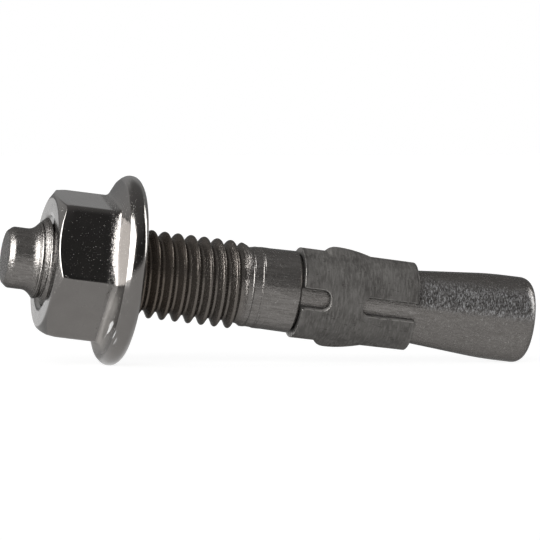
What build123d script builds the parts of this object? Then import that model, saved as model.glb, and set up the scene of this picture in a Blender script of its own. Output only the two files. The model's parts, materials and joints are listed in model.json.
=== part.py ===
# Wedge anchor, lying on a flat surface as it comes to rest: on the rim of its nut and the edge of its cone.
# It has three pieces. A threaded stud has a drive point at one end and a cone at the other, a flange nut runs
# on its thread, and an expansion sleeve, bent from sheet, sits loose on the neck between shank and cone.
# Each piece is drawn along the stud's own axis. A station is a distance along that axis from the flat of the
# drive point, a radius is a distance from the axis, and a turn is an angle about it, from the top line
# towards the side that faces -Y. Sizes are in millimetres and angles in degrees.

import os
from math import asin, atan2, cos, degrees, hypot, radians, sin, tan

from build123d import *

# Stud: drive point, shank, cone
stud_length = 60.0
point_length = 3.3
point_radius = 3.4
point_chamfer_length = 0.6
point_chamfer_depth = 0.5
point_flare_length = 0.8
shank_radius = 4.54
shank_length = 7.0
shoulder_chamfer = 0.2
neck_radius = 3.95
cone_radius = 4.8
cone_half_angle = 4.9
cone_land_length = 5.0
end_round = 1.4

# Threaded length of the stud, plain here at the size over its crests
crest_radius = 4.9
thread_start_radius = 4.35
thread_fade_length = 1.3

# Flange nut
nut_setback = 1.2
nut_height = 9.7
nut_across_flats = 15.0
nut_turn = 43.9
nut_face_radius = 7.2
nut_chamfer_angle = 30.0
nut_countersink_depth = 0.5
nut_clearance = 0.05
flange_radius = 10.55
flange_edge_height = 2.22
flange_slope_angle = 61.0
flange_foot_radius = 7.45
flange_foot_length = 1.2
flange_rim_round = 1.1

# Expansion sleeve, its play on the neck, and how far the cone reaches into it
sleeve_length = 13.1
sleeve_wall = 0.8
sleeve_edge_chamfer = 0.3
sleeve_gap = 0.2
sleeve_clearance = 0.24
cone_reach = 1.1
notch_turn = 96.5
notch_width = 2.25
notch_depth = 3.15
slot_turn = 98.0
slot_width = 2.1
slot_length = 6.3
seam_width = 0.5
lobe_turn = 7.0
lobe_height = 0.6
lobe_press_radius = 2.0
lobe_setback = 2.8
lobe_front_length = 1.3
lobe_back_length = 4.0

# A cut reaches this far past what it cuts
overlap = 0.1

# Turned faces start and end at this turn, which no other edge of the anchor is in line with
seam_turn = 330.0

# Stations and radii that follow from the sizes above
nut_start_station = point_length + nut_setback
nut_end_station = nut_start_station + nut_height
nut_bore_radius = crest_radius + nut_clearance
cone_length = (cone_radius - neck_radius) / tan(radians(cone_half_angle))
cone_end_station = stud_length - cone_land_length
cone_start_station = cone_end_station - cone_length
sleeve_end_station = cone_start_station + cone_reach
sleeve_start_station = sleeve_end_station - sleeve_length
shoulder_station = sleeve_start_station - sleeve_gap
thread_end_station = shoulder_station - shank_length
sleeve_inner_radius = neck_radius + sleeve_clearance
sleeve_radius = sleeve_inner_radius + sleeve_wall

# How the anchor lies: one straight line touches the round of the nut's rim and the round of the cone's edge
point_flat_radius = point_radius - point_chamfer_depth
rim_station = nut_end_station - flange_rim_round
rim_centre_radius = flange_radius - flange_rim_round
edge_station = stud_length - end_round
edge_centre_radius = cone_radius - end_round
rim_to_edge = hypot(edge_station - rim_station, rim_centre_radius - edge_centre_radius)
lean = degrees(
    atan2(rim_centre_radius - edge_centre_radius, edge_station - rim_station)
    - asin((end_round - flange_rim_round) / rim_to_edge)
)
along, across = cos(radians(lean)), sin(radians(lean))
lowest_x = -point_flat_radius * across
highest_x = edge_station * along + edge_centre_radius * across + end_round
start_height = rim_station * across + rim_centre_radius * along + flange_rim_round
start_point = Vector(-(lowest_x + highest_x) / 2, 0, start_height)
axis_direction = Vector(along, 0, -across)
top_direction = Vector(across, 0, along)
near_direction = Vector(0, -1, 0)
anchor_axis = Axis(start_point, axis_direction)


def radial(turn):
    return top_direction * cos(radians(turn)) + near_direction * sin(radians(turn))


def point_on_axis(station):
    return start_point + axis_direction * station


# Sketch plane through the axis: its x is the station and its y is the radius at this turn
def lengthwise(turn=0.0):
    return Plane(start_point, x_dir=axis_direction, z_dir=axis_direction.cross(radial(turn)))


# Sketch plane square to the axis: its x points up to the top line
def crosswise(station):
    return Plane(point_on_axis(station), x_dir=top_direction, z_dir=axis_direction)


# Sketch plane that faces outwards at this turn: its x is the distance along the axis from the station
def facing(turn, station):
    return Plane(point_on_axis(station), x_dir=axis_direction, z_dir=radial(turn))


# Stud: one turned shape, from the drive point over thread, shank and neck to the rounded end of the cone
stud_outline = [
    (0, 0),
    (0, point_flat_radius),
    (point_chamfer_length, point_radius),
    (point_length - point_flare_length, point_radius),
    (point_length, thread_start_radius),
    (point_length + crest_radius - thread_start_radius, crest_radius),
    (thread_end_station, crest_radius),
    (thread_end_station + thread_fade_length, shank_radius),
    (shoulder_station - shoulder_chamfer, shank_radius),
    (shoulder_station, shank_radius - shoulder_chamfer),
    (shoulder_station, neck_radius),
    (cone_start_station, neck_radius),
    (cone_end_station, cone_radius),
    (stud_length, cone_radius),
    (stud_length, 0),
]
with BuildPart() as stud:
    with BuildSketch(lengthwise(seam_turn)):
        with BuildLine():
            FilletPolyline(
                stud_outline,
                radius=[end_round if corner == (stud_length, cone_radius) else 0 for corner in stud_outline],
                close=True,
            )
        make_face()
    revolve(axis=anchor_axis)

# Flange nut: chamfered hexagon run into a sloping flange, bored to pass over the thread
nut_corner_radius = nut_across_flats / 2 / cos(radians(30))
corner_chamfer_length = (nut_corner_radius - nut_face_radius) * tan(radians(nut_chamfer_angle))
flange_edge_station = nut_end_station - flange_edge_height
flange_rise = flange_radius - flange_foot_radius
flange_slope_station = flange_edge_station - flange_rise / tan(radians(flange_slope_angle))
countersink_radius = nut_bore_radius + nut_countersink_depth

with BuildPart() as flange_nut:
    with BuildSketch(crosswise(nut_start_station)):
        RegularPolygon(nut_across_flats / 2, 6, major_radius=False, rotation=nut_turn)
    extrude(amount=flange_edge_station - nut_start_station)
    with BuildSketch(lengthwise()):
        with BuildLine():
            Polyline(
                (nut_start_station, 0),
                (nut_start_station, nut_face_radius),
                (nut_start_station + corner_chamfer_length, nut_corner_radius),
                (nut_start_station + corner_chamfer_length, nut_corner_radius + overlap),
                (nut_end_station, nut_corner_radius + overlap),
                (nut_end_station, 0),
                close=True,
            )
        make_face()
    revolve(axis=anchor_axis, mode=Mode.INTERSECT)
    with BuildSketch(lengthwise(seam_turn)):
        with BuildLine():
            FilletPolyline(
                (flange_slope_station - flange_foot_length, 0),
                (flange_slope_station - flange_foot_length, flange_foot_radius),
                (flange_slope_station, flange_foot_radius),
                (flange_edge_station, flange_radius),
                (nut_end_station, flange_radius),
                (nut_end_station, 0),
                radius=[0, 0, 0, 0, flange_rim_round, 0],
                close=True,
            )
        make_face()
    revolve(axis=anchor_axis)
    with BuildSketch(lengthwise()):
        with BuildLine():
            Polyline(
                (nut_start_station, 0),
                (nut_start_station, countersink_radius),
                (nut_start_station + nut_countersink_depth, nut_bore_radius),
                (nut_end_station - nut_countersink_depth, nut_bore_radius),
                (nut_end_station, countersink_radius),
                (nut_end_station, 0),
                close=True,
            )
        make_face()
    revolve(axis=anchor_axis, mode=Mode.SUBTRACT)

# Expansion sleeve: sheet rolled round the neck, with pressed lobes, notches, slots and an open seam
lobe_start_station = sleeve_start_station + lobe_setback
lobe_peak_station = lobe_start_station + lobe_front_length
lobe_end_station = lobe_peak_station + lobe_back_length
press_axis_radius = sleeve_radius + lobe_height - lobe_press_radius


# Turned shape of a lobe about its own axis, beside the anchor's, made smaller all round by the inset
def press_lobe(turn, inset, mode):
    ramp_radius = lobe_press_radius - lobe_height - inset
    with BuildSketch(lengthwise(turn)) as outline:
        with BuildLine():
            Polyline(
                (lobe_start_station, press_axis_radius),
                (lobe_start_station, press_axis_radius + ramp_radius),
                (lobe_peak_station, press_axis_radius + lobe_press_radius - inset),
                (lobe_end_station, press_axis_radius + ramp_radius),
                (lobe_end_station, press_axis_radius),
                close=True,
            )
        make_face()
    press_axis = Axis(start_point + radial(turn) * press_axis_radius, axis_direction)
    revolve(outline.sketch, axis=press_axis, mode=mode)


with BuildPart() as expansion_sleeve:
    with BuildSketch(crosswise(sleeve_start_station)):
        Circle(sleeve_radius)
    extrude(amount=sleeve_length)
    chamfer(expansion_sleeve.edges(), sleeve_edge_chamfer)
    for half_turn in (0, 180):
        press_lobe(lobe_turn + half_turn, 0, Mode.ADD)
    for half_turn in (0, 180):
        press_lobe(lobe_turn + half_turn, sleeve_wall, Mode.SUBTRACT)
    with BuildSketch(crosswise(sleeve_start_station)):
        Circle(sleeve_inner_radius)
    extrude(amount=sleeve_length, mode=Mode.SUBTRACT)
    for half_turn in (0, 180):
        with BuildSketch(facing(notch_turn + half_turn, sleeve_start_station)):
            SlotOverall(2 * notch_depth, notch_width)
        extrude(amount=2 * sleeve_radius, mode=Mode.SUBTRACT)
        with BuildSketch(facing(slot_turn + half_turn, sleeve_end_station)):
            SlotOverall(2 * slot_length, slot_width)
        extrude(amount=2 * sleeve_radius, mode=Mode.SUBTRACT)
    with BuildSketch(facing(slot_turn + 180, sleeve_start_station + sleeve_length / 2)):
        Rectangle(sleeve_length + 2 * overlap, seam_width)
    extrude(amount=2 * sleeve_radius, mode=Mode.SUBTRACT)

stud.part.label = "stud"
flange_nut.part.label = "flange_nut"
expansion_sleeve.part.label = "expansion_sleeve"

os.makedirs("parts", exist_ok=True)
export_step(stud.part, "parts/stud.step")
export_step(flange_nut.part, "parts/flange_nut.step")
export_step(expansion_sleeve.part, "parts/expansion_sleeve.step")
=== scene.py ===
import json
import math

import bmesh
import bpy
from mathutils import Matrix, Vector


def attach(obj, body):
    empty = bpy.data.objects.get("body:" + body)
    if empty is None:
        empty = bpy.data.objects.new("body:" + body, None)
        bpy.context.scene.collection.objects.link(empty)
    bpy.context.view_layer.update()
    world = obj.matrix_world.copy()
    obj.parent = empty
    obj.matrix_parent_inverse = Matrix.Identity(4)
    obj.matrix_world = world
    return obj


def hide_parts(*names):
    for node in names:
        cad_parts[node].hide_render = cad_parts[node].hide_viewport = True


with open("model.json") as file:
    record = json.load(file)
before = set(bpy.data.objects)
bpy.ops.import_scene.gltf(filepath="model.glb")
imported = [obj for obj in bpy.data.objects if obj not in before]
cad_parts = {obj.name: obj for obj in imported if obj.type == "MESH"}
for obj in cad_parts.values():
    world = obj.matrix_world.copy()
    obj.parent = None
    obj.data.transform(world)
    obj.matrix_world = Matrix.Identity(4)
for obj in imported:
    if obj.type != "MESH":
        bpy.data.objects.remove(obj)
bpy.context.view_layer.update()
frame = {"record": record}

# A wedge anchor: a threaded stud with a flange nut and a split sleeve on it, lying on its flange and cone.
# The pieces are shaped in mm along the stud's axis. x is the station, measured from the drive point, and z
# is the top line. A turn about the axis runs from the top line towards the near side.

# Stud: one piece of stainless steel rod, turned at its drive point, neck and cone. Its thread is rolled on
# after that, so the ridges have round crests and fade out towards the plain shank.
drive_point = next(mount for mount in frame["record"]["mounts"] if mount["name"] == "drive_point")
stud_start = Vector(drive_point["pos_m"])
stud_axis = -Vector(drive_point["axis"]).normalized()
far_side = Vector((0, 1, 0))
top_line = stud_axis.cross(far_side)
lean = math.atan2(-stud_axis.z, stud_axis.x)
mm = 0.001
laid_down = (
    Matrix.Translation(stud_start)
    @ Matrix((stud_axis, far_side, top_line)).transposed().to_4x4()
    @ Matrix.Scale(mm, 4)
)
# Points closer than this many mm are one, and edges that turn by more than this many degrees stay crisp
weld = 0.002
sharp_angle = 40

thread_pitch = 1.5
crest_station = 4.12
first_ridge = crest_station - 2.5 * thread_pitch
crest_radius = 4.9
root_radius = 4.08
ridge_count = 20
ridge_steps = 96
cut_start, cut_end = 3.6, 29.3
start_radius = 4.28
start_slope = 0.85
# Crests and roots run out between two stations, from the first radius to the second, then step up a little
crest_run_out = (25.9, 27.3, crest_radius, 4.5)
crest_step = (28.5, 28.65, 0, 0.04)
root_run_out = (25.5, 28.2, root_radius, 4.46)
root_step = (28.4, 28.65, 0, 0.08)
# Outlines list the station and radius of each corner, and how far its rounding reaches
ridge_corners = [
    (0, root_radius, 0), (0.15, root_radius, 0.1), (0.623, crest_radius, 0.12),
    (0.877, crest_radius, 0.12), (1.35, root_radius, 0.1), (thread_pitch, root_radius, 0),
]
point_corners = [
    (0, 1.2, 0), (0, 2.9, 0.12), (0.6, 3.4, 0.18), (2.62, 3.4, 0.35), (3.2, 3.83, 0.15), (3.55, 4.22, 0),
]
cone_corners = [
    (29.6, 4.52, 0), (32.66, 4.58, 0.05), (32.885, 4.36, 0.05), (32.885, 3.95, 0.25),
    (45.085, 3.95, 0.8), (55, 4.8, 1.6), (60, 4.8, 1.4), (60, 1.5, 0),
]


def only(kind, items):
    return [item for item in items if isinstance(item, kind)]


def round_corners(form, points, corners, steps):
    """Rounds the points of a flat sheet. The last number of each corner is how far its rounding reaches."""
    for point, (_, _, reach) in zip(points, corners):
        if reach:
            bmesh.ops.bevel(
                form, geom=[point], offset=reach, offset_type="OFFSET", segments=steps,
                profile=0.5, affect="VERTICES", material=-1,
            )


def rounded_outline(corners, steps):
    """Gives the rounded outline as stations and radii, rounded on a sheet that reaches past the axis."""
    sheet = bmesh.new()
    inside = -20
    ends = [(corners[-1][0], inside), (corners[0][0], inside)]
    points = [sheet.verts.new((corner[0], 0, corner[1])) for corner in [*corners, *ends]]
    sheet.faces.new(points)
    first, last = points[0], points[len(corners) - 1]
    round_corners(sheet, points, corners, steps)
    sheet.faces.ensure_lookup_table()
    loop = list(sheet.faces[0].verts)
    start = loop.index(first)
    loop = loop[start:] + loop[:start]
    line = [(vert.co.x, vert.co.z) for vert in loop[: loop.index(last) + 1]]
    sheet.free()
    return line


def cut_thread(form, ridge, first, ridges):
    """Sets ridges in a row and winds them once round, one pitch on, so that each ridge joins the next."""
    wire = [form.verts.new((first, 0, ridge[0][1]))]
    for count in range(ridges):
        start = first + count * thread_pitch
        wire += [form.verts.new((start + along, 0, radius)) for along, radius in ridge[1:]]
    lines = [form.edges.new(pair) for pair in zip(wire, wire[1:])]
    bmesh.ops.spin(
        form, geom=wire + lines, cent=(0, 0, 0), axis=(1, 0, 0), dvec=(thread_pitch / ridge_steps, 0, 0),
        angle=math.tau, steps=ridge_steps, use_merge=False, use_duplicate=False,
    )
    bmesh.ops.remove_doubles(form, verts=form.verts, dist=weld)


def open_edges(form, station):
    """The open edges that lie square across the axis at a station."""
    return [
        edge for edge in form.edges
        if edge.is_boundary and all(abs(vert.co.x - station) < weld / 2 for vert in edge.verts)
    ]


def trim(form, station, keep_above):
    """Cuts square across the axis and gives the open ring of edges at the cut."""
    cut = bmesh.ops.bisect_plane(
        form, geom=form.verts[:] + form.edges[:] + form.faces[:], dist=0.00001, plane_co=(station, 0, 0),
        plane_no=(1, 0, 0), clear_inner=keep_above, clear_outer=not keep_above,
    )
    bmesh.ops.remove_doubles(form, verts=only(bmesh.types.BMVert, cut["geom_cut"]), dist=weld)
    return open_edges(form, station)


def set_radius(vert, radius):
    size = math.hypot(vert.co.y, vert.co.z)
    vert.co.y *= radius / size
    vert.co.z *= radius / size


def draw_on(form, ring, outline):
    """Carries an open ring of edges on along an outline, and gives the ring it ends with."""
    for station, radius in outline:
        grown = bmesh.ops.extrude_edge_only(form, edges=ring)["geom"]
        verts = set(only(bmesh.types.BMVert, grown))
        for vert in verts:
            vert.co.x = station
            set_radius(vert, radius)
        ring = [edge for edge in only(bmesh.types.BMEdge, grown) if set(edge.verts) <= verts]
    return ring


def between(x, x_low, x_high, low, high):
    """Goes smoothly from low at x_low to high at x_high."""
    share = min(max((x - x_low) / (x_high - x_low), 0), 1)
    return low + (high - low) * share * share * (3 - 2 * share)


def finished(form, name, body, material):
    """Welds the mesh of a piece, turns its faces outwards, lays it down, and makes its object."""
    bmesh.ops.remove_doubles(form, verts=form.verts, dist=weld)
    bmesh.ops.recalc_face_normals(form, faces=form.faces)
    bmesh.ops.transform(form, matrix=laid_down, verts=form.verts)
    mesh = bpy.data.meshes.new(name)
    form.to_mesh(mesh)
    form.free()
    mesh.shade_smooth()
    mesh.set_sharp_from_angle(angle=math.radians(sharp_angle))
    mesh.materials.append(material)
    piece = bpy.data.objects.new(name, mesh)
    bpy.context.scene.collection.objects.link(piece)
    even = piece.modifiers.new("even_shading", "WEIGHTED_NORMAL")
    even.mode = "FACE_AREA"
    even.keep_sharp = True
    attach(piece, body)
    return piece


stud_mesh = bmesh.new()
ridge = rounded_outline(ridge_corners, 3)
cut_thread(stud_mesh, ridge, first_ridge, ridge_count)
for vert in stud_mesh.verts:
    station = vert.co.x
    radius = math.hypot(vert.co.y, vert.co.z)
    highest = min(
        between(station, *crest_run_out) + between(station, *crest_step),
        start_radius + max(station - cut_start, 0) * start_slope,
    )
    lowest = between(station, *root_run_out) + between(station, *root_step)
    set_radius(vert, max(min(radius, highest), min(lowest, highest)))
ring = trim(stud_mesh, cut_start, True)
ring = draw_on(stud_mesh, ring, rounded_outline(point_corners, 5)[::-1])
bmesh.ops.edgeloop_fill(stud_mesh, edges=ring)
ring = trim(stud_mesh, cut_end, False)
ring = draw_on(stud_mesh, ring, rounded_outline(cone_corners, 8))
bmesh.ops.edgeloop_fill(stud_mesh, edges=ring)


class Field:
    """A value that changes over a surface, read from a socket. Sums on it are Python expressions."""

    def __init__(self, paint, socket):
        self.paint = paint
        self.socket = socket

    def worked_out(self, operation, first, second):
        return self.paint.node("Math", {"operation": operation}, {0: first, 1: second})

    def __add__(self, other):
        return self.worked_out("ADD", self, other)

    def __sub__(self, other):
        return self.worked_out("SUBTRACT", self, other)

    def __rsub__(self, other):
        return self.worked_out("SUBTRACT", other, self)

    def __mul__(self, other):
        return self.worked_out("MULTIPLY", self, other)

    __radd__ = __add__
    __rmul__ = __mul__

    def fade(self, low, high):
        """0 below low, 1 above high, smooth between. Low may be the larger one."""
        limits = {"Value": self, "From Min": low, "From Max": high}
        return self.paint.node("MapRange", {"interpolation_type": "SMOOTHSTEP"}, limits)

    def band(self, start, full, fading, end):
        """1 from full to fading, smoothly down to 0 at start and end."""
        return self.fade(start, full) * self.fade(end, fading)


class Paint:
    """The nodes of one material, or of the world."""

    def __init__(self, tree):
        self.tree = tree

    def node(self, kind, settings, inputs, output=None):
        """Makes a node. Its settings come first, then the value or the field of each socket."""
        made = self.tree.nodes.new("ShaderNode" + kind)
        for name, value in settings.items():
            setattr(made, name, value)
        for name, value in inputs.items():
            if isinstance(name, int):
                socket = made.inputs[name]
            else:
                socket = next(each for each in made.inputs if each.name == name and each.enabled)
            if isinstance(value, Field):
                self.tree.links.new(value.socket, socket)
            else:
                socket.default_value = value
        if output is None:
            return Field(self, next(each for each in made.outputs if each.enabled))
        return Field(self, made.outputs[output])

    def mix(self, share, first, second):
        """Mixes two colours, each one three numbers or a field."""
        first, second = [(*shade, 1) if isinstance(shade, tuple) else shade for shade in (first, second)]
        return self.node("Mix", {"data_type": "RGBA"}, {"Factor": share, "A": first, "B": second})

    def on_anchor(self):
        """The anchor's own coordinates in mm: station, towards the far side, towards the top line."""
        here = self.node("TexCoord", {}, {}, "Object")
        return self.node(
            "Mapping", {"vector_type": "TEXTURE"},
            {"Vector": here, "Location": stud_start, "Rotation": (0, lean, 0), "Scale": (mm, mm, mm)},
        )

    def parts(self, vector):
        split = self.node("SeparateXYZ", {}, {"Vector": vector}, "X")
        return split, *[Field(self, split.socket.node.outputs[name]) for name in "YZ"]

    def rays(self):
        """1 for rays from the camera, and 1 for rays that metal or glass sends on."""
        kinds = self.node("LightPath", {}, {}, "Is Camera Ray").socket.node.outputs
        names = ("Camera", "Glossy", "Transmission")
        seen, mirrored, passed = [Field(self, kinds[f"Is {name} Ray"]) for name in names]
        return seen, mirrored + passed

    def scaled(self, vector, along, across):
        return self.node("VectorMath", {"operation": "MULTIPLY"}, {0: vector, 1: (along, across, across)})

    def noise(self, vector, scale, detail, rough=0.5, twist=0.0):
        return self.node("TexNoise", {}, {
            "Vector": vector, "Scale": scale, "Detail": detail, "Roughness": rough, "Distortion": twist,
        })


def steel(name):
    """A new bare metal, with its shader and its nodes."""
    material = bpy.data.materials.new(name)
    material.use_nodes = True
    shader = material.node_tree.nodes["Principled BSDF"]
    shader.inputs["Metallic"].default_value = 1
    return material, shader, Paint(material.node_tree)


def surface(shader, colour, roughness, height, depth):
    """Joins colour, roughness and relief to the shader. The relief is depth mm deep where height is 1."""
    paint = colour.paint
    relief = paint.node("Bump", {}, {"Height": height, "Distance": depth * mm, "Strength": 1.0})
    for socket, field in (("Base Color", colour), ("Roughness", roughness), ("Normal", relief)):
        paint.tree.links.new(field.socket, shader.inputs[socket])


rod_dark, rod_pale = (0.115, 0.108, 0.102), (0.155, 0.147, 0.139)
line_pale = (0.2, 0.19, 0.182)
speck_pale = (0.28, 0.27, 0.26)
band_highlight_dark, band_highlight_pale = (0.08, 0.082, 0.09), (0.33, 0.33, 0.335)
thread_brown = (0.105, 0.088, 0.073)
stud_relief_depth = 0.04
material, shader, paint = steel("stud_steel_rolled")
here = paint.on_anchor()
station, _, up = paint.parts(here)
drawn_lines = paint.noise(paint.scaled(here, 0.35, 6), 1, 3, 0.6, 0.3)
mottle = paint.noise(paint.scaled(here, 2, 4.4), 1, 2, 0.6, 1.8)
speckle = paint.noise(paint.scaled(here, 5, 4), 1, 2, 0.6, 0.8)
turned_lines = paint.noise(paint.scaled(here, 9, 2.8), 1, 3, 0.6, 0.4)
on_point = station.fade(3.5, 3.0)
on_thread = station.band(4.6, 5.4, 25.5, 27.5)
on_cone = station.fade(45.8, 47.5)
raised_rings = station.band(27.3, 27.42, 27.45, 27.62) + station.band(28.38, 28.5, 28.55, 28.75)
cut_rings = (
    station.band(3.2, 3.28, 3.32, 3.4) + station.band(3.52, 3.6, 3.64, 3.72)
    + station.band(4.05, 4.13, 4.19, 4.27)
)
relief = (
    drawn_lines * (0.5 - on_cone * 0.4) + mottle * (0.8 - on_cone * 0.5) + speckle * (0.25 + on_thread * 0.5)
    + turned_lines * (on_cone * 0.7 + on_point * 0.5) + (raised_rings - cut_rings) * 2.2
)
# Painted reflection: in a band on the cone, from just below the axis to near its top, bright strokes of
# painted highlight with darker strokes between them stand in for the front light's shine, and they are made
# less metallic.
painted_highlight_band = on_cone * up.band(-0.4, 0.5, 2.4, 3.9)
painted_highlight_marks = painted_highlight_band * turned_lines.fade(0.45, 0.66)
lines_seen = drawn_lines.fade(0.42, 0.6) * (1 - on_thread) * (0.7 - on_cone * 0.5)
colour = paint.mix(mottle.fade(0.35, 0.65), rod_dark, rod_pale)
colour = paint.mix(lines_seen, colour, line_pale)
colour = paint.mix(speckle.fade(0.6, 0.68) * (1 - on_thread) * 0.6, colour, speck_pale)
colour = paint.mix(painted_highlight_band * turned_lines.fade(0.5, 0.36) * 0.5, colour, band_highlight_dark)
colour = paint.mix(painted_highlight_marks, colour, band_highlight_pale)
colour = paint.mix(on_thread * (0.45 + station.fade(24, 15) * 0.5), colour, thread_brown)
roughness = 0.15 + mottle.fade(0.3, 0.7) * 0.1 + on_cone * 0.03 + speckle.fade(0.5, 0.7) * 0.08
surface(shader, colour, roughness, relief, stud_relief_depth)
metallic = 0.76 - painted_highlight_marks * 0.45
paint.tree.links.new(metallic.socket, shader.inputs["Metallic"])
shader.inputs["Specular Tint"].default_value = (0.35, 0.35, 0.35, 1)
shader.inputs["Specular IOR Level"].default_value = 0.1
stud = finished(stud_mesh, "stud_threaded", "stud", material)
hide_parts("stud")

# Flange nut: cold formed stainless steel with a chamfered hexagon that runs into a sloping flange. It is
# screwed on the stud's thread, so its own thread has the same pitch and lies between the stud's ridges.
nut_start, nut_end = 4.5, 14.05
flat_radius = 7.5
corner_round = 0.9
nut_turn = 42.2
face_radius = 7.2
chamfer_end = 4.673
chamfer_slope = 0.577
hexagon_start, hexagon_end = 7, 9
nut_steps = 192
groove_count = 10
first_groove = crest_station - 1.5 * thread_pitch
groove_from, groove_to = nut_start + 0.3, nut_end - 0.46
# How much further the hexagon's corners reach along the foot than its flats, and how their edge is eased
foot_reach = (10.28, 11.2, 0.5, 0.3)
edge_ease = (0, 1.1, 0.14, 0)
groove_corners = [
    (0, 4.19, 0), (0.19, 4.19, 0.05), (0.658, 5.0, 0.05), (0.842, 5.0, 0.05), (1.31, 4.19, 0.05),
    (thread_pitch, 4.19, 0),
]
front_mouth = [(nut_start + 0.25, 5.02), (nut_start + 0.03, 5.2), (nut_start, 5.24)]
back_mouth = [(nut_end - 0.42, 5.02), (nut_end - 0.04, 5.4), (nut_end, 5.46)]
shell_corners = [
    (nut_start, 5.7, 0), (nut_start, face_radius, 0.15), (chamfer_end, flat_radius, 0.12),
    (4.95, flat_radius, 0), (5.3, flat_radius, 0), (5.8, flat_radius, 0), (10.88, flat_radius, 0.6),
    (11.9, 10.0, 0.12), (12.45, 10.5, 0.3), (13.05, 10.62, 0.3), (13.6, 10.45, 0.3),
    (nut_end, 9.85, 0.25), (nut_end, 5.9, 0),
]

nut_mesh = bmesh.new()
cut_thread(nut_mesh, rounded_outline(groove_corners, 2), first_groove, groove_count)
front_ring = trim(nut_mesh, groove_from, True)
back_ring = trim(nut_mesh, groove_to, False)
draw_on(nut_mesh, front_ring, front_mouth)
draw_on(nut_mesh, back_ring, back_mouth)

# The outside is turned round first, and then its middle is pushed out to the hexagon's flats and corners
shell_mesh = bmesh.new()
wire = [shell_mesh.verts.new((station, 0, radius)) for station, radius in rounded_outline(shell_corners, 8)]
lines = [shell_mesh.edges.new(pair) for pair in zip(wire, wire[1:])]
bmesh.ops.spin(
    shell_mesh, geom=wire + lines, cent=(0, 0, 0), axis=(1, 0, 0), dvec=(0, 0, 0),
    angle=math.tau, steps=nut_steps, use_merge=True, use_duplicate=False,
)
sector = math.radians(60)
arc_centre = (flat_radius - corner_round) / math.cos(sector / 2)
arc_start = math.atan2((flat_radius - corner_round) * math.tan(sector / 2), flat_radius)
for vert in shell_mesh.verts:
    radius = math.hypot(vert.co.y, vert.co.z)
    turn = math.atan2(-vert.co.y, vert.co.z) % math.tau
    number = int(turn / sector + 0.001)
    share = (turn - number * sector) / (sector / 2) - 1
    from_flat = sector / 2 * math.sin(share * math.pi / 2)
    if abs(from_flat) < arc_start:
        hexagon = flat_radius / math.cos(from_flat)
    else:
        aside = sector / 2 - abs(from_flat)
        half_chord = math.sqrt(corner_round**2 - (arc_centre * math.sin(aside)) ** 2)
        hexagon = arc_centre * math.cos(aside) + half_chord
    out = hexagon - flat_radius
    if face_radius + 0.15 < radius < hexagon_end:
        past_chamfer = vert.co.x - chamfer_end
        vert.co.x += out * (chamfer_slope if vert.co.x < hexagon_start else between(vert.co.x, *foot_reach))
        radius += out * (1 - between(past_chamfer, *edge_ease))
    turn = math.radians(nut_turn) + (number + 0.5) * sector + from_flat
    vert.co.y, vert.co.z = -radius * math.sin(turn), radius * math.cos(turn)
shell = bpy.data.meshes.new("nut_shell")
shell_mesh.to_mesh(shell)
shell_mesh.free()
nut_mesh.from_mesh(shell)
bpy.data.meshes.remove(shell)
for station in (nut_start, nut_end):
    bmesh.ops.triangle_fill(
        nut_mesh, edges=open_edges(nut_mesh, station), use_beauty=True, use_dissolve=False, normal=(1, 0, 0),
    )

nut_dark, nut_pale = (0.135, 0.128, 0.122), (0.165, 0.157, 0.15)
lit_foot_pale = (0.29, 0.276, 0.262)
stroke_pale = (0.6, 0.6, 0.6)
strokes_centre = (11.1, -6.0, -6.7)
strokes_turn = -6
nut_relief_depth = 0.03
material, shader, paint = steel("nut_steel_bright")
here = paint.on_anchor()
station, _, up = paint.parts(here)
haze = paint.noise(here, 0.5, 3)
pits = paint.noise(here, 6.5, 3, 0.55)
grain = paint.noise(paint.scaled(here, 2, 7), 2, 4, 0.6)
foot = station.band(10.0, 10.5, 10.8, 11.3)
crumple = paint.noise(here, 2.6, 4, 0.6, 1.0)
from_centre = paint.node("VectorMath", {"operation": "SUBTRACT"}, {0: here, 1: strokes_centre})
turned = paint.node(
    "VectorRotate", {"rotation_type": "Y_AXIS"},
    {"Vector": from_centre, "Angle": math.radians(strokes_turn)},
)
stretched = paint.node("VectorMath", {"operation": "MULTIPLY"}, {0: turned, 1: (4.2, 0.1, 0.35)})
distance = paint.node("VectorMath", {"operation": "LENGTH"}, {0: from_centre}, "Value")
strokes = paint.noise(stretched, 1, 1).fade(0.54, 0.62) * distance.fade(1.9, 1.5) * station.fade(10.9, 11.2)
# Painted light: the lower side of the flange's foot, below the axis, is painted paler and made rougher.
painted_light_foot = station.band(10.6, 11, 11.3, 12) * up.fade(-1, -4)
colour = paint.mix(haze, nut_dark, nut_pale)
colour = paint.mix(painted_light_foot, colour, lit_foot_pale)
colour = paint.mix(strokes * 0.8, colour, stroke_pale)
roughness = (
    0.12 + haze.fade(0.3, 0.8) * 0.08 + pits.fade(0.66, 0.74) * 0.3 + strokes * 0.2
    + painted_light_foot * 0.25 + foot * 0.08
)
relief = haze * 0.3 + grain * 0.12 + pits.fade(0.64, 0.76) * 0.5 + foot * crumple * 4 - strokes * 0.5
surface(shader, colour, roughness, relief, nut_relief_depth)
nut = finished(nut_mesh, "nut_flanged", "flange_nut", material)
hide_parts("flange_nut")

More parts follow.
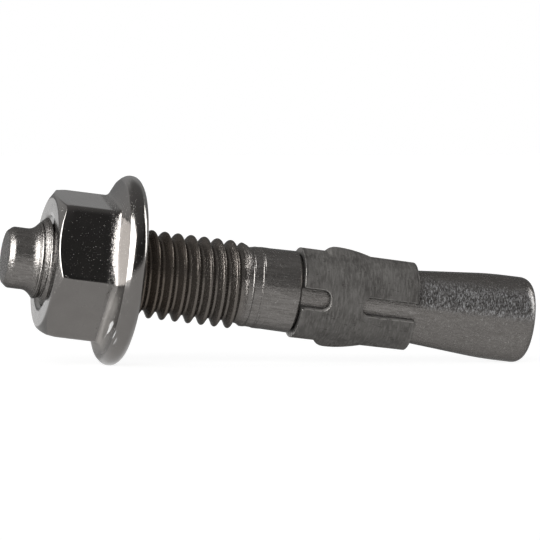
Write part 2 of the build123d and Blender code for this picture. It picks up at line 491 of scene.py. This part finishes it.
# Expansion sleeve: a strip of stainless sheet, blanked with its notches and slots, pressed to give two
# lobes, and bent round the neck. It lies loose there, and its ends leave a seam open on the far side.
sleeve_start, sleeve_end = 33.085, 46.185
sleeve_wall = 0.8
rear_radius, front_radius = 5.05, 4.93
bend_radius = 4.6
edge_round = 0.2
seam_turn, seam_gap = 278, 0.5
notch_turn, notch_width, notch_depth = 96.5, 2.25, 3.15
slot_turn, slot_width, slot_length = 98, 2.1, 6.3
lobe_turn, lobe_height, lobe_half_width = 7, 0.6, 2.0
lobe_start, lobe_peak, lobe_end = 36.0, 37.3, 41.15
lobe_front_power, lobe_back_power = 3.5, 1.9
lobe_front_cuts = [35.99, 36.04, 36.1, 36.2, 36.3]
cut_spacing = 0.3
# The rounded edge of the outer side, which carries a painted highlight, lies between these heights above the
# inner side
rim_low_height, rim_high_height = sleeve_wall - 0.15, sleeve_wall - 0.01


def along_strip(turn):
    """How far from the start of the flat strip a turn comes to lie."""
    return bend_radius * math.radians((turn - seam_turn) % 360) - seam_gap / 2


strip = math.tau * bend_radius - seam_gap
notch_end, slot_end = sleeve_start + notch_depth, sleeve_end - slot_length
half_notch, half_slot = notch_width / 2, slot_width / 2
near_notch, near_slot = along_strip(notch_turn), along_strip(slot_turn)
far_notch = bend_radius * math.radians(notch_turn + 180 - seam_turn) - seam_gap / 2
notch_low, notch_high = far_notch + half_notch, strip + far_notch - half_notch + seam_gap
slot_low, slot_high = half_slot - seam_gap / 2, strip - half_slot + seam_gap / 2
# Corners of the flat strip: the station, how far along the strip, and how far its rounding reaches
blank = [
    (notch_end, 0, 0), (notch_end, notch_low, 0.7), (sleeve_start, notch_low, 0.15),
    (sleeve_start, near_notch - half_notch, 0.15), (notch_end, near_notch - half_notch, 0.9),
    (notch_end, near_notch + half_notch, 0.9), (sleeve_start, near_notch + half_notch, 0.15),
    (sleeve_start, notch_high, 0.15), (notch_end, notch_high, 0.7), (notch_end, strip, 0),
    (slot_end, strip, 0), (slot_end, slot_high, 0.6), (sleeve_end, slot_high, 0.2),
    (sleeve_end, near_slot + half_slot, 0.2), (slot_end, near_slot + half_slot, 0.95),
    (slot_end, near_slot - half_slot, 0.95), (sleeve_end, near_slot - half_slot, 0.2),
    (sleeve_end, slot_low, 0.2), (slot_end, slot_low, 0.6), (slot_end, 0, 0),
]

sleeve_mesh = bmesh.new()
points = [sleeve_mesh.verts.new((station, side, 0)) for station, side, _ in blank]
sleeve_mesh.faces.new(points)
round_corners(sleeve_mesh, points, blank, 6)
raised = bmesh.ops.extrude_face_region(sleeve_mesh, geom=sleeve_mesh.faces[:])["geom"]
bmesh.ops.translate(sleeve_mesh, vec=(0, 0, sleeve_wall), verts=only(bmesh.types.BMVert, raised))
bmesh.ops.bevel(
    sleeve_mesh, geom=only(bmesh.types.BMEdge, raised), offset=edge_round, offset_type="OFFSET", segments=3,
    profile=0.5, affect="EDGES", material=-1, clamp_overlap=True,
)
across_count = int((sleeve_end - sleeve_start) / cut_spacing)
along_count = int(strip / cut_spacing)
across_cuts = [sleeve_start + cut_spacing * count for count in range(1, across_count + 1)]
across_cuts += [*lobe_front_cuts, lobe_end]
along_cuts = [cut_spacing * count for count in range(1, along_count + 1)]
for half_turn in (0, 180):
    along_cuts += [along_strip(lobe_turn + half_turn) + way * lobe_half_width for way in (-1, 1)]
cuts = [((station, 0, 0), (1, 0, 0)) for station in across_cuts]
cuts += [((0, side, 0), (0, 1, 0)) for side in along_cuts]
for place, direction in cuts:
    bmesh.ops.bisect_plane(
        sleeve_mesh, geom=sleeve_mesh.verts[:] + sleeve_mesh.edges[:] + sleeve_mesh.faces[:], dist=0.0001,
        plane_co=place, plane_no=direction, clear_inner=False, clear_outer=False,
    )
rim = sleeve_mesh.verts.layers.float.new("rim")
for vert in sleeve_mesh.verts:
    station, side, height = vert.co
    vert[rim] = 1 if rim_low_height < height < rim_high_height else 0
    turn = math.radians(seam_turn) + (side + seam_gap / 2) / bend_radius
    run = (station - sleeve_start) / (sleeve_end - sleeve_start)
    radius = rear_radius + (front_radius - rear_radius) * run - sleeve_wall + height
    from_lobe = (turn - math.radians(lobe_turn) + math.pi / 2) % math.pi - math.pi / 2
    aside = min(abs(from_lobe) * bend_radius / lobe_half_width, 1)
    if station < lobe_peak:
        swell = 1 - ((lobe_peak - max(station, lobe_start)) / (lobe_peak - lobe_start)) ** lobe_front_power
    else:
        swell = 1 - ((min(station, lobe_end) - lobe_peak) / (lobe_end - lobe_peak)) ** lobe_back_power
    radius += lobe_height * swell * (1 - aside**2)
    vert.co = (station, -radius * math.sin(turn), radius * math.cos(turn))

sheet_dark, sheet_pale = (0.078, 0.074, 0.07), (0.128, 0.123, 0.117)
brush_pale = (0.2, 0.193, 0.184)
scuff_dark = (0.035, 0.032, 0.03)
edge_highlight_pale = (0.5, 0.485, 0.465)
sleeve_relief_depth = 0.035
material, shader, paint = steel("sleeve_steel_satin")
here = paint.on_anchor()
station = paint.parts(here)[0]
brushed = paint.noise(paint.scaled(here, 5, 0.9), 1, 3, 0.65, 0.3)
cloudy = paint.noise(here, 0.45, 4, 0.6)
scuffs = paint.noise(paint.scaled(here, 1.6, 4), 1, 4, 0.65, 1.2)
dents = paint.noise(here, 1.8, 3, 0.6, 0.6)
ends = station.fade(33.5, 33.2) + station.fade(45.75, 46.0)
on_rim = paint.node("Attribute", {"attribute_name": "rim"}, {}, "Fac")
# Painted highlight: broken pale patches along the rounded outer edges, which are also made less rough.
painted_edge_highlight = on_rim * paint.noise(here, 1.5, 2).fade(0.3, 0.55)
colour = paint.mix(cloudy.fade(0.3, 0.7), sheet_dark, sheet_pale)
colour = paint.mix(brushed.fade(0.4, 0.7) * 0.6, colour, brush_pale)
colour = paint.mix(scuffs.fade(0.59, 0.68) * 0.7, colour, scuff_dark)
colour = paint.mix(painted_edge_highlight, colour, edge_highlight_pale)
roughness = 0.58 + cloudy.fade(0.3, 0.8) * 0.1 + brushed * 0.1 - ends * 0.25 - painted_edge_highlight * 0.25
relief = brushed * 0.6 + dents * 1.2 - scuffs.fade(0.56, 0.7) * 0.6
surface(shader, colour, roughness, relief, sleeve_relief_depth)
shader.inputs["Metallic"].default_value = 0.7
shader.inputs["Specular Tint"].default_value = (0.3, 0.3, 0.3, 1)
shader.inputs["Specular IOR Level"].default_value = 0.15
sleeve = finished(sleeve_mesh, "sleeve_bent", "expansion_sleeve", material)
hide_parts("expansion_sleeve")

# Floor: a matt pale board, far wider than the anchor, which lies loose on it. Camera and metal see it
# lightened towards white, with the shadow still on it, and the metal sees it less light in a strip close
# behind the anchor, which doesn't follow the nut.
floor_reach = 4
board_grey = (0.75, 0.75, 0.75, 1)
board_glow = 1.46
glow_share = 0.6
strip_dimming = 0.8
floor_mesh = bmesh.new()
bmesh.ops.create_grid(floor_mesh, x_segments=8, y_segments=8, size=floor_reach)
mesh = bpy.data.meshes.new("floor")
floor_mesh.to_mesh(mesh)
floor_mesh.free()
floor = bpy.data.objects.new("floor", mesh)
bpy.context.scene.collection.objects.link(floor)
material = bpy.data.materials.new("floor_white")
material.use_nodes = True
shader = material.node_tree.nodes["Principled BSDF"]
shader.inputs["Base Color"].default_value = board_grey
shader.inputs["Roughness"].default_value = 0.9
shader.inputs["Specular IOR Level"].default_value = 0
paint = Paint(material.node_tree)
matt = Field(paint, shader.outputs["BSDF"])
glowing = paint.node("Emission", {}, {"Color": (1, 1, 1, 1), "Strength": board_glow})
seen, mirrored = paint.rays()
east, north, _ = paint.parts(paint.node("TexCoord", {}, {}, "Object"))
# Painted shadow: in a fixed strip close behind the anchor, the metal sees the floor less light.
painted_shadow_strip = north.band(-0.002, 0.006, 0.03, 0.07) * east.band(-0.045, -0.03, 0.03, 0.045)
share = (seen + mirrored * (1 - painted_shadow_strip * strip_dimming)) * glow_share
board = paint.node("MixShader", {}, {0: share, 1: matt, 2: glowing})
paint.tree.links.new(board.socket, material.node_tree.nodes["Material Output"].inputs["Surface"])
mesh.materials.append(material)

# Light: a room that is brightest high up behind the anchor, more so on the left, and dark above the camera.
# A wide lamp low in front lights all but the metal's shine, and soft boxes left and right give only shine.
# The camera, and rays that metal or glass sends on, see a white backdrop up to just above the horizon.
world = bpy.data.worlds.new("room")
bpy.context.scene.world = world
world.use_nodes = True
paint = Paint(world.node_tree)
east, north, height = paint.parts(paint.node("TexCoord", {}, {}, "Generated"))
behind = north.fade(-0.2, 0.8)
overhead_glow = height.fade(0.4, 1) * 0.2
front_glow = height.fade(0.2, 0) * (1 - behind) * 0.3
raised_glow = height.band(0, 0.5, 0.52, 0.78) * (0.36 + east.fade(0.1, -0.8) * 0.36)
room_light = 0.07 + overhead_glow + front_glow + behind * (0.1 + raised_glow)
seen, mirrored = paint.rays()
backdrop = (seen + mirrored) * height.fade(0.075, 0.045)
shade = paint.node("Mix", {"data_type": "FLOAT"}, {"Factor": backdrop, "A": room_light, "B": 1.0})
background = world.node_tree.nodes["Background"]
background.inputs["Color"].default_value = (1, 1, 1, 1)
paint.tree.links.new(shade.socket, background.inputs["Strength"])


def soft_box(name, place, wide, high, watts):
    """A flat lamp that faces the anchor and shows only as shine. Its place and size are in metres."""
    light = bpy.data.lights.new(name, "AREA")
    light.shape = "RECTANGLE"
    light.size, light.size_y = wide, high
    light.energy = watts
    lamp = bpy.data.objects.new(name, light)
    lamp.location = place
    lamp.rotation_mode = "QUATERNION"
    lamp.rotation_quaternion = (Vector((0, 0, 0.01)) - Vector(place)).to_track_quat("-Z", "Y")
    lamp.visible_diffuse = False
    lamp.visible_camera = False
    bpy.context.scene.collection.objects.link(lamp)


wide_light = bpy.data.lights.new("wide_lamp", "SUN")
wide_light.energy = 3
wide_light.angle = math.radians(45)
wide_lamp = bpy.data.objects.new("wide_lamp", wide_light)
wide_lamp.visible_glossy = False
wide_lamp.rotation_euler = (math.radians(76), 0, math.radians(-20))
bpy.context.scene.collection.objects.link(wide_lamp)
soft_box("left_box", (-0.45, -0.12, 0.22), 0.45, 0.42, 10)
soft_box("right_box", (0.45, 0.08, 0.2), 0.15, 0.35, 1.7)

# Camera: it looks at the anchor's near side from a little to its left and just above the floor. It stands
# well back with a long lens, so that the near parts look hardly larger than the far ones.
azimuth, elevation = math.radians(-12.5), math.radians(1.3)
distance = 0.75
view_width = 0.0601
aim = Vector((0.00018, -0.00004, 0.01046))
back = Vector((
    math.sin(azimuth) * math.cos(elevation), -math.cos(azimuth) * math.cos(elevation), math.sin(elevation),
))
camera_data = bpy.data.cameras.new("camera")
camera_data.lens = camera_data.sensor_width * distance / view_width
camera_data.clip_start, camera_data.clip_end = 0.05, 20
camera = bpy.data.objects.new("camera", camera_data)
camera.location = aim + back * distance
camera.rotation_mode = "QUATERNION"
camera.rotation_quaternion = (-back).to_track_quat("-Z", "Y")
bpy.context.scene.collection.objects.link(camera)
bpy.context.scene.camera = camera
bpy.context.scene.view_settings.view_transform = "Standard"
